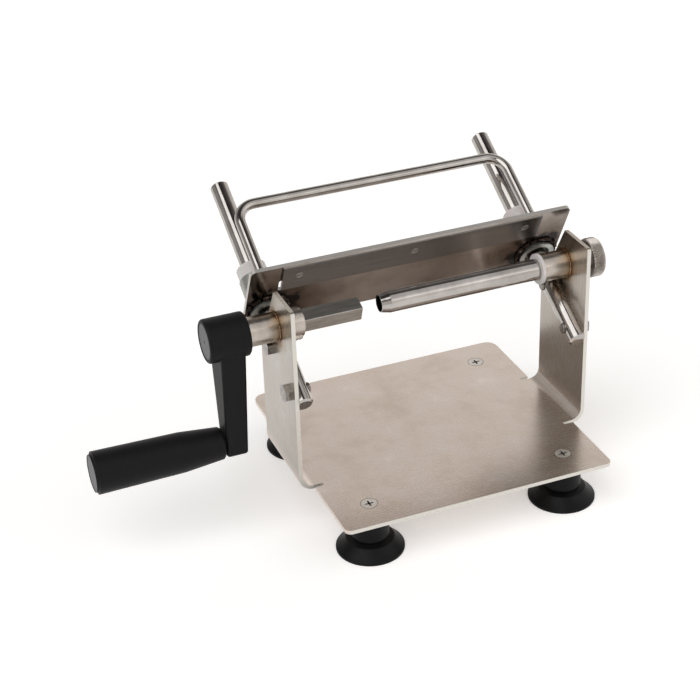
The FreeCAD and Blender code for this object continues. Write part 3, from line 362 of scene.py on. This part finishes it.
link(bolt_steel, bolt_shader, Base_Color=bolt_colour.outputs["Color"],
     Normal=bump.outputs["Normal"])
dress(bolt_steel, "rod_bolts")

screw_steel, screw_shader = new_material("headed_screw_steel", Metallic=1.0, Roughness=0.42)
tree = screw_steel.node_tree
place = add_node(tree, "ShaderNodeTexCoord").outputs["Object"]
wear = add_node(tree, "ShaderNodeTexNoise",
                {"Vector": place, "Scale": repeats(3.33), "Detail": 5, "Roughness": 0.6})
screw_colour = add_node(tree, "ShaderNodeValToRGB", {"Fac": wear.outputs["Fac"]}, stops=[
    (0.3, "#a09b97"), (0.6, "#c4bfbb"), (0.8, "#d4d0cc")])
link(screw_steel, screw_shader, Base_Color=screw_colour.outputs["Color"])
dress(screw_steel, "blade_screws")


# Guide rods, bail handle and tail tube
# Drawn and polished stainless: two straight rods that carry the carriage, the thinner
# bar bent to the bail, and the tube that holds the food. They mirror the room in long
# pale and dark streaks, a little smeared by hands.
polished_bar, bar_shader = new_material("polished_stainless_bar", Metallic=1.0)
tree = polished_bar.node_tree
place = add_node(tree, "ShaderNodeTexCoord").outputs["Object"]
smears = add_node(tree, "ShaderNodeTexNoise",
                  {"Vector": place, "Scale": repeats(18.2), "Detail": 6, "Roughness": 0.6})
bar_colour = add_node(tree, "ShaderNodeValToRGB", {"Fac": smears.outputs["Fac"]}, stops=[
    (0.3, "#a19c97"), (0.55, "#b5b0ac"), (0.75, "#c2beba")])
rough = add_node(tree, "ShaderNodeMapRange", {
    "Value": smears.outputs["Fac"], "To Min": 0.06, "To Max": 0.16})
link(polished_bar, bar_shader, Base_Color=bar_colour.outputs["Color"],
     Roughness=rough.outputs["Result"])
dress(polished_bar, "guide_rod_left", "guide_rod_right", "bail_handle", "tail_tube")


# Bearing tubes
# Drawn stainless tube, welded through the uprights. It is satin and a little warm in
# colour, and the heat of welding has left straw and brown patches beside the welds.
tube_steel, tube_shader = new_material("heat_tinted_tube", Metallic=1.0)
tree = tube_steel.node_tree
place = add_node(tree, "ShaderNodeTexCoord").outputs["Object"]
blotches = add_node(tree, "ShaderNodeTexNoise",
                    {"Vector": place, "Scale": repeats(9.1), "Detail": 5,
                     "Roughness": 0.6})
plain_tube = add_node(tree, "ShaderNodeValToRGB", {"Fac": blotches.outputs["Fac"]}, stops=[
    (0.3, "#b0a79d"), (0.6, "#c2bab1"), (0.8, "#cec8c0")])
# millimetres from the sheet of the nearer upright
upright_reach_mm = 114.5
tube_tint_wander_mm = 12.0
from_middle = add_node(tree, "ShaderNodeMath", {
    0: add_node(tree, "ShaderNodeSeparateXYZ", {"Vector": place}).outputs["X"],
    1: stand_middle_x}, operation="SUBTRACT")
from_upright = add_node(tree, "ShaderNodeMath", {
    0: add_node(tree, "ShaderNodeMath", {
        0: add_node(tree, "ShaderNodeMath", {0: from_middle.outputs["Value"]},
                    operation="ABSOLUTE").outputs["Value"],
        1: 1000.0, 2: -upright_reach_mm},
        operation="MULTIPLY_ADD").outputs["Value"]}, operation="ABSOLUTE")
ragged = add_node(tree, "ShaderNodeMath", {
    0: blotches.outputs["Fac"], 1: -tube_tint_wander_mm,
    2: from_upright.outputs["Value"]},
    operation="MULTIPLY_ADD")
heat = add_node(tree, "ShaderNodeValToRGB", {
    "Fac": add_node(tree, "ShaderNodeMapRange", {
        "Value": ragged.outputs["Value"], "From Min": -5, "From Max": 5,
    }).outputs["Result"]}, stops=[
        (0.0, "#b0957a"), (0.25, "#d8c8b4"), (0.5, "#f3ece2"), (1.0, "#ffffff")])
tube_colour = add_node(tree, "ShaderNodeMix", {
    "Factor": 1.0, 6: plain_tube.outputs["Color"], 7: heat.outputs["Color"]},
    data_type="RGBA", blend_type="MULTIPLY")
rough = add_node(tree, "ShaderNodeMapRange", {
    "Value": blotches.outputs["Fac"], "To Min": 0.2, "To Max": 0.32})
link(tube_steel, tube_shader, Base_Color=tube_colour.outputs[2],
     Roughness=rough.outputs["Result"])
dress(tube_steel, "left_bearing_tube", "right_bearing_tube")


# Sleeves
# Short sleeves turned from stainless bar and welded into the carriage plate, which hold
# the plastic bushes. They were left as turned, a cool satin grey.
sleeve_steel, sleeve_shader = new_material("turned_sleeve_steel", Metallic=1.0, Roughness=0.36)
tree = sleeve_steel.node_tree
place = add_node(tree, "ShaderNodeTexCoord").outputs["Object"]
stains = add_node(tree, "ShaderNodeTexNoise",
                  {"Vector": place, "Scale": repeats(6.67), "Detail": 5, "Roughness": 0.6})
sleeve_colour = add_node(tree, "ShaderNodeValToRGB", {"Fac": stains.outputs["Fac"]}, stops=[
    (0.3, "#7f807b"), (0.55, "#a1a29d"), (0.75, "#b4b4b0")])
link(sleeve_steel, sleeve_shader, Base_Color=sleeve_colour.outputs["Color"])
dress(sleeve_steel, "left_sleeve", "right_sleeve")


# Crank shaft
# A stainless bar turned for its bush and milled to the square that drives the potato.
# Milling leaves a dull grey satin with fine lines along it.
shaft_steel, shaft_shader = new_material("milled_shaft_steel", Metallic=1.0)
tree = shaft_steel.node_tree
place = add_node(tree, "ShaderNodeTexCoord").outputs["Object"]
# cutter marks, drawn 2.4 mm wide, several times their real width, so that they show
marks = add_node(tree, "ShaderNodeTexNoise", {
    "Vector": add_node(tree, "ShaderNodeMapping", {
        "Vector": place,
        "Scale": (repeats(16.7), repeats(2.38), repeats(2.38))}).outputs["Vector"],
    "Scale": 1, "Detail": 4, "Roughness": 0.6})
shaft_colour = add_node(tree, "ShaderNodeValToRGB", {"Fac": marks.outputs["Fac"]}, stops=[
    (0.3, "#98958f"), (0.7, "#b3b0ab")])
rough = add_node(tree, "ShaderNodeMapRange", {
    "Value": marks.outputs["Fac"], "To Min": 0.3, "To Max": 0.42})
link(shaft_steel, shaft_shader, Base_Color=shaft_colour.outputs["Color"],
     Roughness=rough.outputs["Result"])
dress(shaft_steel, "crank_shaft")


# Crank arm and grip
# Glass-filled nylon, moulded. The arm is bolted on the shaft and the grip turns on its
# spindle. The mould's fine grain leaves all faces matt and nearly black.
black_nylon, nylon_shader = new_material("moulded_black_nylon", Roughness=0.5,
                                         Specular_IOR_Level=0.15)
tree = black_nylon.node_tree
place = add_node(tree, "ShaderNodeTexCoord").outputs["Object"]
pits = add_node(tree, "ShaderNodeTexNoise",
                {"Vector": place, "Scale": repeats(0.625), "Detail": 2, "Roughness": 0.5})
nylon_colour = add_node(tree, "ShaderNodeValToRGB", {"Fac": pits.outputs["Fac"]}, stops=[
    (0.3, "#0d0d0f"), (0.7, "#161619")])
bump = add_node(tree, "ShaderNodeBump", {
    "Height": pits.outputs["Fac"], "Strength": 0.25, "Distance": 0.0001})
link(black_nylon, nylon_shader, Base_Color=nylon_colour.outputs["Color"],
     Normal=bump.outputs["Normal"])
dress(black_nylon, "crank_arm", "handle_grip")


# Hub cap and grip cap
# Plugs of dark grey plastic, moulded smooth and pressed in to close the crank's hub
# and the end of the grip. They look flat and paler than the nylon round them.
grey_plastic, grey_shader = new_material("moulded_grey_plastic", Roughness=0.5,
                                         Specular_IOR_Level=0.3)
tree = grey_plastic.node_tree
place = add_node(tree, "ShaderNodeTexCoord").outputs["Object"]
pits = add_node(tree, "ShaderNodeTexNoise",
                {"Vector": place, "Scale": repeats(1.11), "Detail": 3, "Roughness": 0.5})
grey_colour = add_node(tree, "ShaderNodeValToRGB", {"Fac": pits.outputs["Fac"]}, stops=[
    (0.3, "#5d5e60"), (0.7, "#6c6d70")])
link(grey_plastic, grey_shader, Base_Color=grey_colour.outputs["Color"])
dress(grey_plastic, "hub_cap", "grip_cap")


# Plastic bushes
# White acetal, turned, and set in the tubes and sleeves as bearings. It is milky, with
# a waxy half gloss, and lets a little light through at the rims.
acetal, acetal_shader = new_material("turned_white_acetal", Roughness=0.4,
                                     Subsurface_Weight=0.25, Subsurface_Scale=0.003,
                                     Specular_IOR_Level=0.35)
tree = acetal.node_tree
place = add_node(tree, "ShaderNodeTexCoord").outputs["Object"]
milky = add_node(tree, "ShaderNodeTexNoise",
                 {"Vector": place, "Scale": repeats(8.33), "Detail": 3, "Roughness": 0.5})
acetal_colour = add_node(tree, "ShaderNodeValToRGB", {"Fac": milky.outputs["Fac"]}, stops=[
    (0.3, "#cfc9c8"), (0.7, "#dedad8")])
link(acetal, acetal_shader, Base_Color=acetal_colour.outputs["Color"])
dress(acetal, "left_shaft_bush", "left_slide_bush", "right_slide_bush", "tail_bush")


# Carriage plate
# A 3 mm stainless sheet with its bright mill finish, slotted for the slices. It mirrors
# softly, and welding the sleeves in has burnt it black and brown at both ends.
sleeve_spread = 0.109
sleeve_y = 0.0168
sleeve_z = 0.1466
plate_normal = (0, 0.8894, 0.4571)
burn_wander_mm = 26.0

bright_sheet, bright_shader = new_material("bright_rolled_sheet", Metallic=1.0)
tree = bright_sheet.node_tree
coordinates = add_node(tree, "ShaderNodeTexCoord")
place = coordinates.outputs["Object"]
smears = add_node(tree, "ShaderNodeTexNoise",
                  {"Vector": place, "Scale": repeats(29.4), "Detail": 6, "Roughness": 0.6})
mill_colour = add_node(tree, "ShaderNodeValToRGB", {"Fac": smears.outputs["Fac"]}, stops=[
    (0.3, "#a09891"), (0.5, "#b4ada7"), (0.7, "#c2bcb7")])
# millimetres from the middle of the nearer sleeve
from_sleeve = add_node(tree, "ShaderNodeVectorMath", {
    0: add_node(tree, "ShaderNodeVectorMath", {
        0: add_node(tree, "ShaderNodeVectorMath", {
            0: place, 1: (stand_middle_x, sleeve_y, sleeve_z)},
                    operation="SUBTRACT").outputs["Vector"]},
        operation="ABSOLUTE").outputs["Vector"],
    1: (sleeve_spread, 0, 0)}, operation="SUBTRACT")
sleeve_distance = add_node(tree, "ShaderNodeVectorMath", {
    0: add_node(tree, "ShaderNodeVectorMath", {0: from_sleeve.outputs["Vector"],
                                               1: (1000, 1000, 1000)},
                operation="MULTIPLY").outputs["Vector"]}, operation="LENGTH")
scale_noise = add_node(tree, "ShaderNodeTexNoise", {
    "Vector": place, "Scale": repeats(10.53), "Detail": 6, "Roughness": 0.65})
ragged = add_node(tree, "ShaderNodeMath", {
    0: scale_noise.outputs["Fac"], 1: -burn_wander_mm,
    2: sleeve_distance.outputs["Value"]},
    operation="MULTIPLY_ADD")
burn = add_node(tree, "ShaderNodeValToRGB", {
    "Fac": add_node(tree, "ShaderNodeMapRange", {
        "Value": ragged.outputs["Value"], "From Min": 0, "From Max": 50,
    }).outputs["Result"]}, stops=[
        (0.0, "#1c1714"), (0.16, "#2a221d"), (0.22, "#8d8178"), (0.5, "#b9b2ac"),
        (1.0, "#ffffff")])
burnt = add_node(tree, "ShaderNodeMix", {
    "Factor": 1.0, 6: mill_colour.outputs["Color"], 7: burn.outputs["Color"]},
    data_type="RGBA", blend_type="MULTIPLY")
# cut edges don't face along the plate's own normal, and are paler and duller
off_face = add_node(tree, "ShaderNodeVectorMath", {
    0: coordinates.outputs["Normal"], 1: plate_normal}, operation="DOT_PRODUCT")
edge = add_node(tree, "ShaderNodeMath", {
    0: add_node(tree, "ShaderNodeMath", {0: off_face.outputs["Value"]},
                operation="ABSOLUTE").outputs["Value"], 1: 0.7}, operation="LESS_THAN")
plate_colour = add_node(tree, "ShaderNodeMix", {
    0: edge.outputs["Value"], 6: burnt.outputs[2], 7: linear("#c6c2be")}, data_type="RGBA")
rough = add_node(tree, "ShaderNodeMapRange", {
    "Value": smears.outputs["Fac"], "To Min": 0.09, "To Max": 0.2})
dull = add_node(tree, "ShaderNodeMath", {
    0: edge.outputs["Value"], 1: 0.35, 2: rough.outputs["Result"]},
    operation="MULTIPLY_ADD")
link(bright_sheet, bright_shader, Base_Color=plate_colour.outputs[2],
     Roughness=dull.outputs["Value"])
dress(bright_sheet, "carriage_plate")


# Blade
# Hardened knife steel, ground along its length and screwed to the plate's front over
# the slot. It looks darker than the plate, and its edges are painted pale as a highlight.
blade_steel, blade_shader = new_material("ground_knife_steel", Metallic=1.0)
tree = blade_steel.node_tree
coordinates = add_node(tree, "ShaderNodeTexCoord")
place = coordinates.outputs["Object"]
# grinding lines, drawn 1.1 mm wide, ten times their real width, so that they show
lines = add_node(tree, "ShaderNodeTexNoise", {
    "Vector": add_node(tree, "ShaderNodeMapping", {
        "Vector": place,
        "Scale": (repeats(83.3), repeats(1.11), repeats(1.11))}).outputs["Vector"],
    "Scale": 1, "Detail": 3, "Roughness": 0.6})
ground_colour = add_node(tree, "ShaderNodeValToRGB", {"Fac": lines.outputs["Fac"]}, stops=[
    (0.3, "#7f7d7c"), (0.7, "#8d8b8a")])
# painted highlight: the blade's edges and ends, which don't face along the plate's normal, are
# painted pale
off_face = add_node(tree, "ShaderNodeVectorMath", {
    0: coordinates.outputs["Normal"], 1: plate_normal}, operation="DOT_PRODUCT")
edge = add_node(tree, "ShaderNodeMath", {
    0: add_node(tree, "ShaderNodeMath", {0: off_face.outputs["Value"]},
                operation="ABSOLUTE").outputs["Value"], 1: 0.7}, operation="LESS_THAN")
blade_colour_and_highlight = add_node(tree, "ShaderNodeMix", {
    0: edge.outputs["Value"], 6: ground_colour.outputs["Color"], 7: linear("#d6d2ce")},
    data_type="RGBA")
rough = add_node(tree, "ShaderNodeMapRange", {
    "Value": lines.outputs["Fac"], "To Min": 0.2, "To Max": 0.27})
link(blade_steel, blade_shader, Base_Color=blade_colour_and_highlight.outputs[2],
     Roughness=rough.outputs["Result"])
dress(blade_steel, "blade")


# Knurled knob
# A turned steel disc on the end of the tail tube, cross knurled for the fingers and
# drilled from below for the grub screw that locks it. The knurl's small faces glint
# light and dark.
knob_radius = 0.0149
knob_left = 0.1898
knob_right = 0.1992
knob_chamfer = 0.001
knurls_round = 44
knurl_rows = 8
knurl_depth = 0.0008
screw_hole_x = 0.1928
screw_hole_radius = 0.0025

knob_middle = ((knob_left + knob_right) / 2, axis_y, axis_z)
row_pitch = (knob_right - knob_left) / knurl_rows
valley_radius = knob_radius - knurl_depth
bpy.ops.object.select_all(action="DESELECT")
bpy.ops.mesh.primitive_cylinder_add(
    vertices=2 * knurls_round, radius=valley_radius, depth=knob_right - knob_left,
    location=knob_middle, rotation=(0, math.radians(90), 0))
knob = bpy.context.object
knob.name = "knurled_knob"
bpy.ops.object.transform_apply(location=True, rotation=True, scale=True)
bpy.ops.object.mode_set(mode="EDIT")
bpy.ops.mesh.select_mode(type="EDGE")
bpy.ops.mesh.select_all(action="DESELECT")
bpy.ops.object.mode_set(mode="OBJECT")
for long_edge in knob.data.edges:
    first, last = (knob.data.vertices[index].co for index in long_edge.vertices)
    long_edge.select = abs(first.x - last.x) > row_pitch
bpy.ops.object.mode_set(mode="EDIT")
bpy.ops.mesh.subdivide(number_cuts=knurl_rows - 1)
bpy.ops.mesh.select_mode(type="VERT")


def scale_knob_points(wanted, factor):
    """Scale the knob's points that pass a test of row and column about its axis."""
    bpy.ops.mesh.select_all(action="DESELECT")
    bpy.ops.object.mode_set(mode="OBJECT")
    for point in knob.data.vertices:
        row = round((point.co.x - knob_left) / row_pitch)
        turn = math.atan2(point.co.y - axis_y, point.co.z - axis_z)
        column = round(turn / (2 * math.pi) * 2 * knurls_round)
        point.select = wanted(row, column)
    bpy.ops.object.mode_set(mode="EDIT")
    bpy.ops.transform.resize(value=(1, factor, factor), center_override=knob_middle)


scale_knob_points(lambda row, column: 0 < row < knurl_rows and (row + column) % 2 == 0,
                  knob_radius / valley_radius)
scale_knob_points(lambda row, column: row in (0, knurl_rows),
                  (knob_radius - knob_chamfer) / valley_radius)
bpy.ops.object.mode_set(mode="OBJECT")
bpy.ops.mesh.primitive_cylinder_add(
    vertices=32, radius=screw_hole_radius, depth=knob_radius,
    location=(screw_hole_x, axis_y, axis_z - knob_radius))
drill = bpy.context.object
hole = knob.modifiers.new("screw_hole", "BOOLEAN")
hole.operation = "DIFFERENCE"
hole.object = drill
bpy.ops.object.select_all(action="DESELECT")
knob.select_set(True)
bpy.context.view_layer.objects.active = knob
bpy.ops.object.modifier_apply(modifier="screw_hole")
bpy.data.objects.remove(drill)

knob_steel, knob_shader = new_material("knurled_steel", Metallic=1.0)
tree = knob_steel.node_tree
place = add_node(tree, "ShaderNodeTexCoord").outputs["Object"]
wear = add_node(tree, "ShaderNodeTexNoise",
                {"Vector": place, "Scale": repeats(2.5), "Detail": 4, "Roughness": 0.6})
knob_colour = add_node(tree, "ShaderNodeValToRGB", {"Fac": wear.outputs["Fac"]}, stops=[
    (0.3, "#96908a"), (0.7, "#b5afa9")])
rough = add_node(tree, "ShaderNodeMapRange", {
    "Value": wear.outputs["Fac"], "To Min": 0.22, "To Max": 0.38})
link(knob_steel, knob_shader, Base_Color=knob_colour.outputs["Color"],
     Roughness=rough.outputs["Result"])
knob.data.materials.append(knob_steel)
dress(knob_steel, "tail_knob")
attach(knob, "tail")
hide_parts("tail_knob")


# Grub screw
# A socket screw of hardened steel, sunk in the knob from below. Its black oxide looks
# like dull charcoal.
oxide_steel, oxide_shader = new_material("black_oxide_steel", Metallic=1.0, Roughness=0.45)
tree = oxide_steel.node_tree
place = add_node(tree, "ShaderNodeTexCoord").outputs["Object"]
wear = add_node(tree, "ShaderNodeTexNoise",
                {"Vector": place, "Scale": repeats(2), "Detail": 4, "Roughness": 0.6})
oxide_colour = add_node(tree, "ShaderNodeValToRGB", {"Fac": wear.outputs["Fac"]}, stops=[
    (0.3, "#242220"), (0.7, "#3a3734")])
link(oxide_steel, oxide_shader, Base_Color=oxide_colour.outputs["Color"])
dress(oxide_steel, "knob_screw")


# Weld beads
# Fused steel where the tubes, sleeves and bail meet the sheet, laid by hand in
# overlapping drops. The welds on the tubes are wiped clean and tinted as the tubes
# are, those round the sleeves and the bail are black with scale.
hand = random.Random(7)
bead_voxel = 0.00035
drop_wander = 0.25
ring_wander = 0.02
smallest_drop = 0.85
largest_drop = 1.12
# the outside of the left upright, and the inside and the outside of the right one
tube_weld_faces = (-0.0575, 0.1715, 0.1751)
tube_weld_radius = 0.01075
tube_drop_radius = 0.0007
tube_drop_count = 84
# the short run of weld under the inner end of the left tube
tack_start = -0.0525
tack_pitch = 0.0021
tack_drop_count = 6
tack_drop_radius = 0.0029
tack_below_y = 0.0066
tack_below_z = 0.0079
# the rings round the sleeves' flanges and round the legs of the bail
sleeve_weld_radius = 0.0161
sleeve_weld_lift = 0.0003
sleeve_drop_radius = 0.0017
sleeve_drop_count = 34
bail_middle_x = 0.0574
bail_leg_y = 0.0103
bail_leg_z = 0.1671
bail_weld_radius = 0.0046
bail_drop_radius = 0.0015
bail_drop_count = 14


def ring_of_drops(centre, normal, radius, count):
    """Places of drops laid round a ring, each a little off its place."""
    across = Vector((1, 0, 0)) if abs(normal.x) < 0.5 else Vector((0, 1, 0))
    along = normal.cross(across).normalized()
    across = along.cross(normal)
    places = []
    for drop in range(count):
        turn = 2 * math.pi * (drop + hand.uniform(-drop_wander, drop_wander)) / count
        off = radius + hand.uniform(-ring_wander, ring_wander) * radius
        places.append(centre + (across * math.cos(turn) + along * math.sin(turn)) * off)
    return places


def lay_beads(name, drops, material, body, node_name):
    """Melt drops, each a place and a radius, into one piece in place of a node."""
    bpy.ops.object.select_all(action="DESELECT")
    beads = []
    for drop_place, drop_radius in drops:
        bpy.ops.mesh.primitive_ico_sphere_add(
            subdivisions=2, radius=drop_radius * hand.uniform(smallest_drop, largest_drop),
            location=drop_place)
        beads.append(bpy.context.object)
    for bead in beads:
        bead.select_set(True)
    bpy.ops.object.join()
    weld = bpy.context.object
    weld.name = name
    bpy.ops.object.transform_apply(location=True, rotation=True, scale=True)
    melt = weld.modifiers.new("melt", "REMESH")
    melt.mode = "VOXEL"
    melt.voxel_size = bead_voxel
    bpy.ops.object.modifier_apply(modifier="melt")
    bpy.ops.object.shade_smooth()
    weld.data.materials.append(material)
    dress(material, node_name)
    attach(weld, body)
    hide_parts(node_name)


black_weld, weld_shader = new_material("scaled_weld", Metallic=1.0)
tree = black_weld.node_tree
place = add_node(tree, "ShaderNodeTexCoord").outputs["Object"]
scale_noise = add_node(tree, "ShaderNodeTexNoise", {
    "Vector": place, "Scale": repeats(3.85), "Detail": 5, "Roughness": 0.62})
scale_colour = add_node(tree, "ShaderNodeValToRGB", {
    "Fac": scale_noise.outputs["Fac"]}, stops=[
        (0.35, "#171311"), (0.55, "#3f342d"), (0.72, "#978b81")])
rough = add_node(tree, "ShaderNodeMapRange", {
    "Value": scale_noise.outputs["Fac"], "To Min": 0.6, "To Max": 0.3})
link(black_weld, weld_shader, Base_Color=scale_colour.outputs["Color"],
     Roughness=rough.outputs["Result"])

crank_axis = Vector((1, 0, 0))
tube_drops = []
for face_x in tube_weld_faces:
    tube_drops += [(drop_place, tube_drop_radius) for drop_place in ring_of_drops(
        Vector((face_x, axis_y, axis_z)), crank_axis, tube_weld_radius, tube_drop_count)]
for drop in range(tack_drop_count):
    tube_drops.append((Vector((tack_start + drop * tack_pitch, axis_y - tack_below_y,
                               axis_z - tack_below_z)), tack_drop_radius))
lay_beads("tube_welds", tube_drops, tube_steel, "frame", "tube_weld_beads")

plate_front = -Vector(plate_normal)
rod_direction = Vector((0, 0.866, 0.5))
sleeve_drops = []
bail_drops = []
for side in (-1, 1):
    sleeve_middle = (Vector((stand_middle_x + side * sleeve_spread, sleeve_y, sleeve_z))
                     + plate_front * sleeve_weld_lift)
    sleeve_drops += [(drop_place, sleeve_drop_radius) for drop_place in ring_of_drops(
        sleeve_middle, plate_front, sleeve_weld_radius, sleeve_drop_count)]
    leg_middle = Vector((bail_middle_x + side * sleeve_spread, bail_leg_y, bail_leg_z))
    bail_drops += [(drop_place, bail_drop_radius) for drop_place in ring_of_drops(
        leg_middle, rod_direction, bail_weld_radius, bail_drop_count)]
lay_beads("sleeve_welds", sleeve_drops, black_weld, "carriage", "sleeve_weld_beads")
lay_beads("bail_welds", bail_drops, black_weld, "carriage", "bail_weld_beads")
